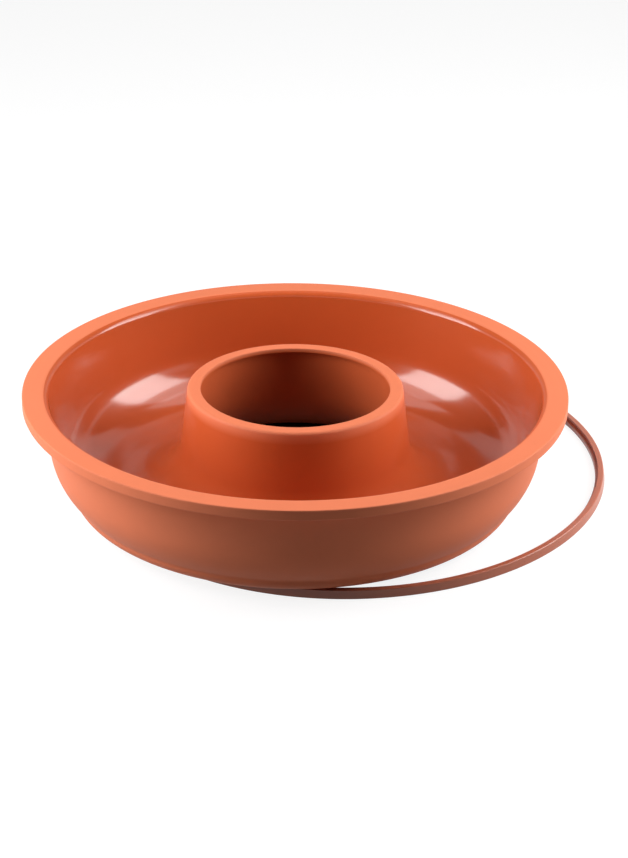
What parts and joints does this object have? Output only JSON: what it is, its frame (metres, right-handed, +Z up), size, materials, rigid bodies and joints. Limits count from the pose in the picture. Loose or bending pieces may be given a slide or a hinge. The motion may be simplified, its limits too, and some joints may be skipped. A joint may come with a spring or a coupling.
{
  "type": "silicone savarin mould",
  "caption": "Ring-shaped silicone baking mould with an open chimney in the middle, leaning on a loose stiff support ring that fits under its rim.",
  "frame": {"origin": "on the table, under the middle of the mould and the ring together", "axes": "+Z up from the table, +X to the right and +Y away from the viewer of the front"},
  "size_m": [0.2592, 0.2558, 0.0565],
  "materials": {
    "silicone": "satin",
    "ring_plastic": "satin"
  },
  "bodies": {
    "support_ring": {"support_ring": "ring_plastic"},
    "mould": {"mould": "silicone"}
  },
  "joints": [
    {"name": "mould_lift", "type": "slide", "parent": "support_ring", "child": "mould", "axis": [0, 0, 1], "range_m": [0, 0.08]}
  ]
}
